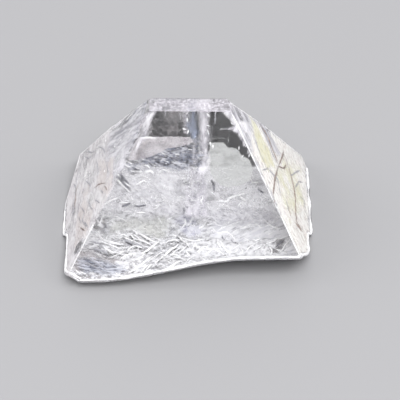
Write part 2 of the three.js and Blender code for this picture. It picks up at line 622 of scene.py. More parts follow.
def frostMaterial(name, values, along=upright, cover=None):
    # the attribute "cover" says how much of a place the frost takes, unless it is the same all over
    material = newMaterial(name)
    tree = material.node_tree
    place = inMillimetres(tree, along, values["stretch"])
    cover = attribute(tree, "cover") if cover is None else cover
    grain = grained(tree, place, values, cover)
    part = mapped(tree, grain["Grain"], *values["grain"])
    colour = blendColours(tree, part, values["dark"], values["bright"])
    white = node(
        tree, "ShaderNodeBsdfPrincipled", Base_Color=colour, Roughness=values["roughness"],
        Alpha=grain["Amount"],
    )
    node(tree, "ShaderNodeOutputMaterial", Surface=white.outputs[0])
    return material


def insideBy(x, y, corners):
    # how far a place is inside an outline, in mm; below 0 it is outside
    place = Vector((x, y, 0))
    inside, nearest = False, 1e9
    for (ax, ay), (bx, by) in zip(corners, corners[1:] + corners[:1]):
        a, b = Vector((ax, ay, 0)), Vector((bx, by, 0))
        on, part = intersect_point_line(place, a, b)
        on = a if part < 0 else b if part > 1 else on
        nearest = min(nearest, (place - on).length)
        if (ay > y) != (by > y) and x < (bx - ax) * (y - ay) / (by - ay) + ax:
            inside = not inside
    return nearest if inside else -nearest


def endSheet(name, bm, material):
    bmesh.ops.solidify(bm, geom=bm.faces[:], thickness=sheetThickness * mm)
    bmesh.ops.recalc_face_normals(bm, faces=bm.faces)
    piece = addObject(name, bm, material)
    piece.data.shade_smooth()
    seal(piece)


def addSheet(name, material, patches, cell=0.15, inset=0.05):
    # each patch is a way to turn two coordinates into a place, its cover, the width over which
    # it fades at its edge, and its outline
    bm = bmesh.new()
    covers = bm.verts.layers.float.new("cover")
    for toPlace, cover, feather, corners in patches:
        xs, ys = (np.arange(min(side) - cell, max(side) + 2 * cell, cell) for side in zip(*corners))
        verts = {}
        for j, y in enumerate(ys):
            for i, x in enumerate(xs):
                within = insideBy(x, y, corners)
                place = toPlace(x, y)
                over = place.z - footAt(place.x, place.y)
                if within > -cell * 1.5 and over > clearOfFoot:
                    verts[i, j] = bm.verts.new(place * mm)
                    verts[i, j][covers] = cover * ramp(within, -cell, feather)
        for i, j in list(verts):
            ring = [(i, j), (i + 1, j), (i + 1, j + 1), (i, j + 1)]
            if all(key in verts for key in ring):
                bm.faces.new([verts[key] for key in ring])
    for vert in [v for v in bm.verts if not v.link_faces]:
        bm.verts.remove(vert)
    cutTo(bm, allPlanes, inset, fill=False)
    bm.normal_update()
    outward = sum((face.normal * face.calc_area() for face in bm.faces), Vector())
    middle = sum((vert.co for vert in bm.verts), Vector()) / len(bm.verts)
    if outward.dot(middle - Vector((0, 0, heartHeight * mm))) < 0:
        bmesh.ops.reverse_faces(bm, faces=bm.faces)
    endSheet(name, bm, material)


# ways to turn two coordinates in mm into a place

def under(plane, inset, wave=0.0):
    # inset mm inside a growth face; x and z in front and behind, y and z at the sides, x and y at the tip
    normal = plane["normal"]
    axis = max(range(3), key=lambda i: abs(normal[i]))
    others = [i for i in range(3) if i != axis]

    def place(a, b):
        depth = inset + wave * noise.noise(Vector((a * 0.9, b * 0.9, inset * 7)))
        offset = plane["point"].dot(normal) / mm - depth
        spot = [0.0, 0.0, 0.0]
        spot[others[0]], spot[others[1]] = a, b
        spot[axis] = (offset - sum(normal[i] * spot[i] for i in others)) / normal[axis]
        return Vector(spot)
    return place


def rising(low, high, forward=0.0, wave=0.05):
    # x and z; leans back from low to high, each (y, z)
    lean = (high[0] - low[0]) / (high[1] - low[1])

    def place(x, z):
        ripple = wave * noise.noise(Vector((x * 0.8, z * 0.8, 3.0)))
        return Vector((x, low[0] + lean * (z - low[1]) - forward + ripple, z))
    return place


def level(height, wave=0.03):
    # x and y; parallel to the tip, at a height over the middle of the foot
    tilt = tipFace["normal"]

    def place(x, y):
        rise = wave * noise.noise(Vector((x * 0.8, y * 0.8, height)))
        return Vector((x, y, height - (tilt.x * x + tilt.y * y) / tilt.z + rise))
    return place


inMilk, onMilk = (rising((0.9, 2.0), (2.6, 4.3), forward) for forward in (0, 0.18))
inSlate, onSlate = (rising((2.6, 4.0), (3.0, 6.4), forward) for forward in (0, 0.1))
inSeam, behindSeam = rising((-1.0, 7.6), (1.3, 11.0)), rising((-0.8, 7.6), (1.5, 11.0))
cornerFace = facingMost((-0.5, -0.72, -0.48))
leftRidge, rightRidge, rearLeftRidge = (-0.45, -0.43, -0.78), (0.42, -0.43, -0.80), (-0.44, 0.43, -0.75)
upTheSeam = (0, 0.56, 0.83)

# patch, speck, contrast, softness, most, stretch, dark, bright
veilKinds = {
    "pearl": frost(1.4, 5.0, 1.5, 1.2, 0.52, 1.0, (0.50, 0.47, 0.52), (0.83, 0.81, 0.86)),
    "silk": frost(0.8, 2.2, 1.5, 1.0, 0.60, 4.5, (0.62, 0.60, 0.66), (0.98, 0.97, 1.0)),
    "seamSilk": frost(0.9, 2.6, 1.2, 1.3, 0.58, 2.5, (0.68, 0.66, 0.71), (0.98, 0.96, 1.0)),
    "greySilk": frost(0.8, 2.4, 2.0, 0.9, 0.58, 4.5, (0.44, 0.43, 0.48), (0.94, 0.93, 0.97)),
    "rosySilk": frost(0.8, 2.6, 1.3, 1.0, 0.62, 2.2, (0.78, 0.74, 0.76), (0.97, 0.95, 0.96)),
    "warmSilk": frost(1.0, 3.0, 1.5, 0.9, 0.85, 1.3, (0.97, 0.92, 0.88), (1.0, 1.0, 0.96)),
    "lilacSilk": frost(0.7, 2.0, 1.0, 1.0, 0.55, 3.0, (0.50, 0.48, 0.55), (0.86, 0.83, 0.89)),
    # painted shade for the window: a dark grey sheet
    "paintedShade": frost(0.7, 3.2, 3.0, 0.8, 0.30, 1.8, (0.20, 0.18, 0.18), (0.60, 0.57, 0.58)),
    "wisp": frost(1.6, 5.5, 2.8, 0.45, 0.62, 3.5, (0.50, 0.51, 0.58), (0.96, 0.96, 1.0)),
    "rearWisp": frost(1.1, 3.6, 2.8, 0.5, 0.60, 3.0, (0.80, 0.80, 0.85), (0.98, 0.98, 1.0)),
    "milk": frost(0.9, 4.2, 1.3, 1.2, 0.46, 2.2, (0.52, 0.51, 0.55), (0.84, 0.83, 0.86)),
    "blue": frost(0.9, 3.0, 1.8, 0.9, 0.50, 4.0, (0.16, 0.18, 0.25), (0.40, 0.45, 0.58)),
    "cream": frost(0.9, 3.4, 1.9, 1.0, 0.60, 1.8, (0.92, 0.89, 0.62), (0.97, 0.97, 0.82)),
    "peach": frost(0.8, 2.4, 1.9, 0.9, 0.42, 2.0, (0.74, 0.66, 0.63), (0.95, 0.90, 0.88)),
    "soot": frost(1.8, 5.0, 2.4, 0.5, 0.74, 1.0, (0.10, 0.10, 0.11), (0.32, 0.31, 0.32)),
    "slate": frost(1.3, 5.0, 2.4, 0.7, 0.50, 3.5, (0.13, 0.15, 0.21), (0.78, 0.80, 0.88)),
    "deepSlate": frost(1.3, 5.0, 3.0, 0.6, 0.60, 3.5, (0.08, 0.09, 0.14), (0.50, 0.53, 0.63)),
    "still": frost(0.8, 3.0, 0.8, 1.2, 0.42, 1.0, (0.62, 0.63, 0.60), (0.82, 0.82, 0.79)),
    "haze": frost(0.8, 3.0, 2.2, 0.7, 0.36, 1.0, (0.50, 0.50, 0.64), (0.94, 0.94, 1.0)),
}

# kind, the way its streaks run, cell in mm, then its patches: place, cover, feather in mm, outline
veils = {
    "pearlyTip": ("pearl", upright, 0.2, [
        (under(tipFace, 0.05), 0.60, 0.3, [(-4, -2), (4.5, -2), (4.5, 2.2), (-4, 2.2)]),
    ]),
    "leftUpperVeil": ("greySilk", rearLeftRidge, 0.25, [
        (under(leftFace, 0.09, 0.05), 0.40, 0.8, [(-1.1, 13.6), (1.8, 13.0), (5.0, 6.6), (-4.8, 7.0)]),
        (under(leftFace, 0.2), 0.65, 0.5, [
            (-1.2, 13.4), (0.2, 12.0), (-0.8, 9.8), (-2.6, 8.6), (-4.4, 8.0), (-3.6, 9.6),
        ]),
    ]),
    "leftLowerVeil": ("rosySilk", across, 0.25, [
        (under(leftFace, 0.12, 0.05), 0.62, 0.9, [
            (5.2, 7.6), (8.4, 0.2), (-8.4, 0.2), (-7.4, 2.2), (-4.6, 8.2),
        ]),
        (under(leftFace, 0.08), 0.90, 0.25, [(6.6, 1.6), (3.4, 1.7), (-1.2, 1.3), (-1.6, 0.3), (7.6, 0.3)]),
    ]),
    "rightUpperVeil": ("greySilk", rightRidge, 0.25, [
        (under(rightFace, 0.14, 0.03), 0.85, 0.6, [(-1.1, 13.6), (1.8, 13.0), (3.2, 7.4), (-4.2, 7.6)]),
        (under(rightFace, 0.05), 0.98, 0.2, [
            (2.7, 8.9), (3.4, 7.3), (3.1, 5.9), (2.8, 4.9), (2.1, 5.8), (1.6, 7.4),
        ]),
    ]),
    "rightVeil": ("warmSilk", rightRidge, 0.25, [
        (under(rightFace, 0.09, 0.05), 0.72, 0.7, [
            (1.6, 10.2), (8.4, 0.2), (-8.4, 0.2), (-7.0, 2.6), (-2.6, 10.2),
        ]),
        (under(rightFace, 0.22), 0.80, 0.6, [
            (0.8, 8.6), (3.6, 6.4), (8.2, 0.2), (-8.0, 0.6), (-6.0, 3.6), (-3.0, 5.6),
        ]),
    ]),
    "ridgeFrost": ("silk", leftRidge, 0.12, [
        (under(frontFace, 0.1), 0.66, 0.35, [
            (-3.1, 13.5), (-1.8, 13.4), (-2.5, 12.7), (-2.9, 11.8), (-3.5, 10.8), (-4.2, 9.8), (-4.6, 9.2),
            (-4.9, 9.2), (-4.2, 10.6),
        ]),
        (under(frontFace, 0.1), 0.75, 0.25, [
            (3.8, 13.4), (2.2, 13.4), (3.1, 12.9), (3.8, 12.1), (4.4, 11.0), (5.2, 9.8),
        ]),
        (under(frontFace, 0.14), 0.85, 0.15, [(2.8, 11.85), (4.3, 12.15), (4.8, 11.5)]),
    ]),
    "cornerFrost": ("rosySilk", upright, 0.12, [
        (under(cornerFace, 0.08), 1.0, 0.2, [(-10.2, 0.3), (-10.2, 2.4), (-7.6, 2.4), (-7.6, 0.3)]),
    ]),
    "seamVeil": ("seamSilk", upTheSeam, 0.12, [
        (inSeam, 0.66, 0.25, [(0.95, 11.3), (1.85, 11.3), (1.8, 9.4), (1.85, 8.2), (1.1, 8.2), (1.1, 9.2)]),
        (inSeam, 0.36, 0.3, [(1.1, 8.4), (1.85, 8.4), (1.9, 6.9), (1.0, 6.9)]),
        (behindSeam, 0.34, 0.3, [(0.3, 9.3), (1.1, 9.3), (1.1, 7.2), (0.3, 7.4)]),
        (under(backFace, 0.25, 0.1), 0.45, 0.3, [(1.2, 6.6), (1.9, 6.6), (1.9, 4.6), (1.1, 4.0)]),
        (under(backFace, 0.3, 0.1), 0.60, 0.2, [(-0.3, 11.6), (0.2, 11.6), (0.1, 7.0), (-0.2, 7.0)]),
    ]),
    "blueSeam": ("blue", upTheSeam, 0.12, [
        (behindSeam, 0.50, 0.25, [(0.1, 11.3), (0.95, 11.3), (0.95, 9.2), (0.2, 9.0)]),
        (under(backFace, 0.35, 0.1), 0.28, 0.4, [(0.2, 7.0), (1.2, 7.0), (1.4, 1.0), (0.2, 1.0)]),
    ]),
    # painted shade: a dark sheet on the back face that darkens the window, whose dark is the ground seen by
    # reflection
    "windowSmoke": ("paintedShade", upright, 0.2, [
        (under(backFace, 0.2, 0.1), 0.34, 0.4, [(-3.6, 12.2), (0.2, 12.2), (0.2, 6.0), (-4.2, 6.0)]),
    ]),
    "smokyVeil": ("wisp", (0.86, -0.50, 0.05), 0.15, [
        (inSlate, 0.34, 0.4, [
            (-5.4, 4.4), (-4.4, 5.0), (-3.1, 5.7), (-1.6, 6.2), (0.2, 6.1), (1.0, 5.4), (0.6, 4.2),
            (-1.4, 3.7), (-3.1, 3.8), (-5.0, 3.9),
        ]),
    ]),
    "rearWisps": ("rearWisp", (0.80, -0.30, -0.50), 0.12, [
        (under(backFace, 0.12, 0.05), 0.42, 0.4, [(-6.4, 2.8), (-2.6, 2.6), (-2.6, 1.5), (-6.6, 1.3)]),
        (under(backFace, 0.12, 0.05), 0.60, 0.3, [(-2.8, 2.0), (2.6, 2.2), (2.6, 0.8), (-2.8, 1.3)]),
    ]),
    "milkyVeil": ("milk", (0.86, -0.30, -0.40), 0.15, [
        (inMilk, 0.62, 0.5, [
            (-7.0, 1.0), (-6.4, 4.1), (-3.6, 4.6), (0.2, 4.4), (3.0, 4.6), (6.8, 4.4), (7.4, 0.5),
            (1.5, 0.5), (0.5, 1.0),
        ]),
    ]),
    "milkSeam": ("lilacSilk", (0, 0.6, 0.8), 0.12, [
        (onMilk, 0.42, 0.15, [(-0.1, 1.2), (0.0, 4.4), (1.5, 4.4), (1.6, 1.2)]),
    ]),
    "creamStain": ("cream", rightRidge, 0.15, [
        (under(rightFace, 0.06), 0.85, 0.45, [
            (1.6, 10.3), (2.1, 9.3), (1.5, 8.2), (1.0, 7.0), (0.0, 6.2), (-1.9, 7.4), (-1.9, 8.5),
            (-0.8, 9.2),
        ]),
        (under(rightFace, 0.06), 0.42, 0.9, [(-1.6, 6.6), (3.0, 4.8), (6.4, 1.0), (1.0, 1.0), (-4.6, 4.0)]),
    ]),
    "peachStain": ("peach", across, 0.2, [
        (under(leftFace, 0.06), 0.75, 0.5, [
            (-0.6, 3.2), (-3.8, 5.6), (-6.3, 3.8), (-5.4, 2.4), (-1.9, 2.2),
        ]),
        (under(leftFace, 0.06), 0.55, 0.4, [(2.4, 2.4), (-0.2, 4.8), (-1.8, 4.9), (-0.3, 2.9)]),
        (under(leftFace, 0.06), 0.65, 0.25, [
            (2.0, 5.4), (-0.9, 7.9), (-4.1, 8.0), (-4.4, 7.1), (-2.2, 5.7),
        ]),
    ]),
    "darkSpot": ("soot", upright, 0.08, [
        (under(leftFace, 0.07), 0.95, 0.25, [
            (-5.4, 2.5), (-5.6, 3.3), (-6.2, 3.6), (-6.7, 3.0), (-6.4, 2.3), (-5.8, 2.1),
        ]),
        (onFoot, 0.52, 0.35, [
            (6.8, -4.4), (7.0, -3.6), (7.6, -2.2), (8.3, -1.9), (8.0, -3.5), (7.9, -4.1), (7.3, -4.7),
        ]),
    ]),
    "slateHaze": ("slate", (0.95, -0.30, 0), 0.2, [
        (onFoot, 0.75, 0.6, [(-9.2, -5.0), (-7.8, -4.8), (-5.4, -6.0), (-4.6, -7.4), (-8.8, -7.2)]),
    ]),
    "slateVeil": ("deepSlate", (0.86, -0.50, 0.05), 0.15, [
        (rising((2.9, 4.0), (3.3, 6.4)), 0.64, 0.4, [
            (-5.4, 4.3), (-4.4, 4.9), (-3.1, 5.6), (-1.6, 6.2), (0.6, 6.0), (1.5, 5.2), (1.4, 3.9),
            (-1.4, 3.6), (-3.1, 3.7), (-5.0, 3.8),
        ]),
    ]),
    # painted light: pale patches that lighten the right of the foot and its corner
    "palePatches": ("rearWisp", (0.8, 0.5, 0), 0.2, [
        (onFoot, 0.90, 0.6, [(1.6, 2.7), (7.6, 2.7), (9.0, 0.8), (8.8, -1.6), (6.0, -3.0), (1.8, -2.4)]),
        (onFoot, 0.9, 0.4, [(8.3, -0.8), (9.7, -1.6), (9.7, -6.6), (7.8, -5.4), (8.5, -3.0)]),
    ]),
    "stillPatches": ("still", upright, 0.2, [
        (onFoot, 0.62, 0.6, [
            (-6.7, -0.1), (-5.9, 0.9), (-4.0, 1.4), (-1.2, 1.4), (-1.6, -1.6), (-3.2, -2.2), (-4.4, -0.4),
            (-6.4, -0.9),
        ]),
    ]),
    "lilacHaze": ("haze", upright, 0.2, [
        (onFoot, 0.80, 0.6, [(-1.2, 0.8), (-0.1, 1.8), (1.0, 1.2), (1.4, -0.6), (0.6, -1.8), (-0.6, -1.4)]),
    ]),
}


def addVeils(values):
    for name, (kind, along, cell, patches) in values.items():
        addSheet(name, frostMaterial(name, veilKinds[kind], along), patches, cell, inset=0.03)


# the bruised foot: crushed, white crystal just above the fracture surface

bruise = {
    "lift": 0.07,  # mm above the foot
    "inset": 0.05,  # mm inside the faces
    "cover": 0.50,
    "frost": frost(0.6, 2.4, 2.0, 0.9, 0.58, 1.0, (0.74, 0.74, 0.77), (0.98, 0.98, 1.0)),
}


def bruiseCover(x, y):
    # the rear of the foot stays clear, and so does a patch at the front left corner
    cover = bruise["cover"] - 0.75 * ramp(y, 2.2, 2.9) + 0.12 * ramp(x, -2, 4) * ramp(-y, -1, 2)
    clear = ramp(-math.hypot((x + 8.0) / 2.0, (y + 5.4) / 1.5), -1.2, -0.4)
    right = ramp(x, 1.0, 3.0) * ramp(-y, -2.6, -1.6)
    return cover + 0.22 * right - 0.40 * clear


def addBruise(values):
    bm = bmesh.new()
    footSheet(bm, values["lift"], 2)
    covers = bm.verts.layers.float.new("cover")
    for vert in bm.verts:
        vert[covers] = bruiseCover(vert.co.x / mm, vert.co.y / mm)
    cutTo(bm, allPlanes, values["inset"], fill=False)
    endSheet("bruisedFoot", bm, frostMaterial("bruisedCrystal", values["frost"]))


addVeils(veils)
addBruise(bruise)
print("veils and bruises laid")


# open cleavage cracks, parallel to the tip: clear seen straight on, mirrors at a slant

cleavage = {
    "straightOn": 0.0,  # share of the light that it mirrors, seen straight on
    "atSlant": 0.88,  # and at a slant
    "shade": 0.35,  # how much of that it keeps from what lies under it
    "slant": (0.18, 0.30),  # facing between which it turns into a mirror
    "ragged": (0.78, 0.92),  # cover and noise together, between which its edge comes up
    "mottling": (0.38, 0.62, 0.55, 1.0),  # noise from and to, share that mirrors from and to
    "roughness": (0.4, 0.7, 0.10, 0.35),  # noise from and to, roughness from and to
    "colour": (0.91, 0.92, 0.90, 1),
    "cell": 0.12,  # mm
    "inset": 0.12,  # mm inside the faces
    "pale": [
        (1.7, 5.0), (2.5, 5.1), (2.9, 5.1), (3.1, 4.4), (3.8, 4.3), (4.1, 4.1), (4.4, 3.4), (5.1, 2.9),
        (5.4, 1.4), (5.2, 0.0), (4.4, -0.6), (3.4, -0.9), (2.6, -0.6), (1.9, 0.4), (1.5, 2.5),
    ],
    "flat": [
        (-3.9, 3.2), (-1.4, 3.3), (0.4, 3.3), (0.7, 2.4), (-0.1, 1.9), (-1.4, 1.5), (-2.6, 0.6),
        (-4.0, 0.0), (-4.9, 0.0), (-4.5, 1.6),
    ],
    "flatColour": (0.93, 0.89, 0.91, 1),
}


def gapMaterial(name, values):
    material = newMaterial(name)
    tree = material.node_tree
    place = inMillimetres(tree)
    fine = noiseAt(tree, place, 2.2, detail=4.0, roughness=0.65)
    present = mapped(tree, plus(tree, attribute(tree, "cover"), fine), *values["ragged"])
    coarse = noiseAt(tree, place, 0.9, detail=5.0, roughness=0.7)
    present = times(tree, present, mapped(tree, coarse, *values["mottling"]))
    facing = node(tree, "ShaderNodeLayerWeight", Blend=0.5).outputs["Facing"]
    slant = mapped(tree, facing, *values["slant"], values["straightOn"], values["atSlant"])
    rough = mapped(tree, noiseAt(tree, place, 1.4), *values["roughness"])
    mirror = node(
        tree, "ShaderNodeBsdfPrincipled", Base_Color=values["colour"], Metallic=1.0, Roughness=rough,
    )
    onItsWay = node(tree, "ShaderNodeLightPath").outputs["Is Shadow Ray"]
    shade = mapped(tree, onItsWay, 0, 1, 1, values["shade"])
    there = times(tree, times(tree, slant, present), shade)
    surface = mixShaders(tree, there, node(tree, "ShaderNodeBsdfTransparent"), mirror)
    node(tree, "ShaderNodeOutputMaterial", Surface=surface)
    return material


def addCleavage(name, values, patch):
    addSheet(name, gapMaterial(name, values), [patch], values["cell"], values["inset"])


addCleavage("paleCleavage", cleavage, (level(5.0), 0.95, 0.45, cleavage["pale"]))
flatLook = dict(cleavage, colour=cleavage["flatColour"])
addCleavage("flatCleavage", flatLook, (level(7.0), 0.9, 0.5, cleavage["flat"]))
print("cleavage cracks opened")


# threads: white wear with painted highlights along the ridges and the rim, step edges on the foot with
# their shine painted white, brown cracks, and cracks painted dark with the shade they mirror

def newGeometryTree(name, numbers, others):
    tree = bpy.data.node_groups.new(name, "GeometryNodeTree")
    addSockets(tree, "INPUT", "Geometry", ["Geometry"])
    addSockets(tree, "INPUT", "Float", numbers)
    for kind, names in others.items():
        addSockets(tree, "INPUT", kind, names)
    addSockets(tree, "OUTPUT", "Geometry", ["Geometry"])
    return tree, tree.nodes.new("NodeGroupInput").outputs


def endTree(tree, geometry, material):
    smooth = node(tree, "GeometryNodeSetShadeSmooth", Geometry=geometry)
    whole = node(tree, "GeometryNodeRealizeInstances", Geometry=smooth.outputs[0])
    painted = node(tree, "GeometryNodeSetMaterial", Geometry=whole.outputs[0], Material=material)
    tree.links.new(painted.outputs[0], tree.nodes.new("NodeGroupOutput").inputs[0])


def threadTree():
    # tubes along the edges of a mesh, uneven, wandering and drawn out at both ends
    tree, given = newGeometryTree("crystalThread", {
        "Spacing": 0.2 * mm, "Thickness": 0.06 * mm, "Unevenness": 0.5, "Wander": 0.0, "Grain": 900.0,
        "Taper": 1.0, "Seed": 0.0,
    }, {"Material": ["Material"]})
    curves = node(tree, "GeometryNodeMeshToCurve", Mesh=given["Geometry"])
    spaced = node(
        tree, "GeometryNodeResampleCurve", {"mode": "LENGTH"},
        Curve=curves.outputs[0], Length=given["Spacing"],
    )
    where = node(tree, "GeometryNodeInputPosition")
    drift = node(
        tree, "ShaderNodeTexNoise", {"noise_dimensions": "4D"}, Vector=where.outputs[0], W=given["Seed"],
        Scale=given["Grain"], Detail=2.0,
    )
    centred = node(tree, "ShaderNodeVectorMath", {"operation": "SUBTRACT"})
    tree.links.new(drift.outputs["Color"], centred.inputs[0])
    centred.inputs[1].default_value = (0.5, 0.5, 0.5)
    offset = node(tree, "ShaderNodeVectorMath", {"operation": "SCALE"}, Scale=given["Wander"])
    tree.links.new(centred.outputs[0], offset.inputs[0])
    wandering = node(tree, "GeometryNodeSetPosition", Geometry=spaced.outputs[0], Offset=offset.outputs[0])
    along = node(tree, "GeometryNodeSplineParameter").outputs["Factor"]
    toEnd = maths(tree, "MINIMUM", along, minus(tree, 1.0, along))
    # thin over its first and last quarter, unless the taper is low
    pointed = maths(tree, "MINIMUM", plus(tree, times(tree, toEnd, 4.0), 0.12), 1.0)
    blunt = minus(tree, 1.0, given["Taper"])
    pointed = maths(tree, "MINIMUM", plus(tree, pointed, blunt), 1.0)
    # thick and thin by turns, never thinner than 0.15 of its thickness
    swell = times(tree, minus(tree, drift.outputs["Fac"], 0.5), 4.0)
    swell = plus(tree, 1.0, times(tree, swell, given["Unevenness"]))
    swell = maths(tree, "MAXIMUM", swell, 0.15)
    radius = times(tree, given["Thickness"], times(tree, swell, pointed))
    profile = node(tree, "GeometryNodeCurvePrimitiveCircle", Resolution=5, Radius=1.0)
    tube = node(
        tree, "GeometryNodeCurveToMesh", Curve=wandering.outputs[0], Profile_Curve=profile.outputs[0],
        Scale=radius, Fill_Caps=True,
    )
    endTree(tree, tube.outputs[0], given["Material"])
    return tree


crystalThread = threadTree()


def applied(name, source, tree, values):
    # runs a geometry tree on a mesh and keeps the result as a plain mesh
    carrier = addObject(name + "Source", source)
    modifier = carrier.modifiers.new("tree", "NODES")
    modifier.node_group = tree
    sockets = [item for item in tree.interface.items_tree if item.in_out == "INPUT"]
    identifiers = {socket.name: socket.identifier for socket in sockets}
    for key, value in values.items():
        modifier[identifiers[key]] = value
    bpy.context.view_layer.update()
    ready = carrier.evaluated_get(bpy.context.evaluated_depsgraph_get())
    mesh = bpy.data.meshes.new_from_object(ready)
    carrier.modifiers.remove(modifier)
    bpy.data.objects.remove(carrier)
    piece = addObject(name, mesh)
    mesh.name = name
    return seal(piece)


endsMeet = 0.02  # mm


def pathMesh(name, paths):
    # paths in mm; ends that meet are joined
    bm = bmesh.new()
    for path in paths:
        verts = [bm.verts.new(Vector(point) * mm) for point in path]
        for a, b in zip(verts, verts[1:]):
            bm.edges.new((a, b))
    bmesh.ops.remove_doubles(bm, verts=bm.verts, dist=endsMeet * mm)
    return plainMesh(name, bm)


def threadMaterial(name, dark, bright, most=1.0):
    finish = frost(1.5, 6.0, 0.8, 1.0, most, 1.0, dark, bright, roughness=0.45, grain=(0.35, 0.65))
    return frostMaterial(name, finish, cover=0.85)


# white wear, and also painted highlight: glints, the shine of ridges, rim and step edges, and sparkling
# slivers
whiteWearAndHighlight = threadMaterial("whiteWearAndHighlight", (0.93, 0.93, 0.95), (1, 1, 1))
softWear = threadMaterial("softWear", (0.70, 0.70, 0.74), (0.97, 0.97, 1), 0.8)
brownCrack = threadMaterial("brownCrack", (0.20, 0.15, 0.14), (0.42, 0.34, 0.30), 0.95)
# cracks with painted shade: the dark that a crack mirrors from the ground below is painted into it
crackWithPaintedReflection = threadMaterial("crackWithPaintedReflection", (0.10, 0.10, 0.12), (0.28, 0.28, 0.32), 0.95)
greyCrack = threadMaterial("greyCrack", (0.36, 0.36, 0.40), (0.56, 0.56, 0.60), 0.6)

rimWearAndHighlight = {
    "Spacing": 0.15 * mm, "Thickness": 0.12 * mm, "Unevenness": 0.75, "Wander": 0.10 * mm,
    "Grain": 700.0, "Taper": 0.0, "Seed": 3.0,
}
ridgeWearAndHighlight = {
    "Spacing": 0.2 * mm, "Thickness": 0.055 * mm, "Unevenness": 1.0, "Wander": 0.05 * mm,
    "Grain": 900.0, "Taper": 0.2, "Seed": 8.0,
}
lineWear = {
    "Spacing": 0.12 * mm, "Unevenness": 0.45, "Wander": 0.08 * mm,
    "Grain": 1000.0, "Taper": 1.0, "Seed": 5.0,
}


def addThreads(name, paths, values, material):
    applied(name, pathMesh(name, paths), crystalThread, dict(values, Material=material))


# the rim and the ridges: white wear, with the light they catch painted in as highlight
addThreads("wornRim", outline["rim"], rimWearAndHighlight, whiteWearAndHighlight)
addThreads("wornRidges", outline["ridges"], ridgeWearAndHighlight, whiteWearAndHighlight)
